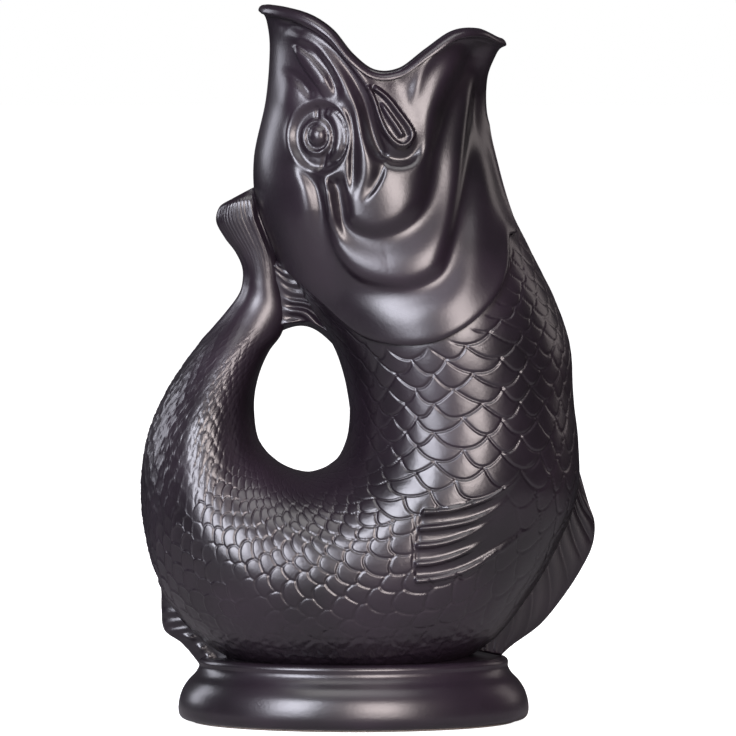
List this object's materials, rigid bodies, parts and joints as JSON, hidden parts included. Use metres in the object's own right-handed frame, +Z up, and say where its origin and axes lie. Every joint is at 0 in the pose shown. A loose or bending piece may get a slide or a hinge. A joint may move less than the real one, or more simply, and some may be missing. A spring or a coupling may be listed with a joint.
{
  "type": "gurgle jug",
  "caption": "Hollow fish-shaped pouring jug on an oval foot: open mouth as spout, hollow curled tail as handle, satin black glaze.",
  "frame": {"origin": "centre of the foot's underside, in the plane that the jug stands on", "axes": "+X along the fish towards the pouring lip, -X towards the tail handle, +Y to the fish's left side, +Z up"},
  "size_m": [0.1543, 0.098, 0.2453],
  "materials": {
    "black_glaze": "satin",
    "bare_clay": "matte"
  },
  "bodies": {
    "root": {"foot_ring": "bare_clay", "foot": "black_glaze", "belly": "black_glaze", "breast": "black_glaze", "rear_body": "black_glaze", "tail": "black_glaze", "head": "black_glaze", "jaws": "black_glaze", "jaw_end_left": "black_glaze", "jaw_end_right": "black_glaze", "eye_left": "black_glaze", "eye_right": "black_glaze", "tail_fin": "black_glaze", "breast_fin": "black_glaze", "vent_fin": "black_glaze", "side_fin_left": "black_glaze", "side_fin_right": "black_glaze"}
  },
  "joints": []
}
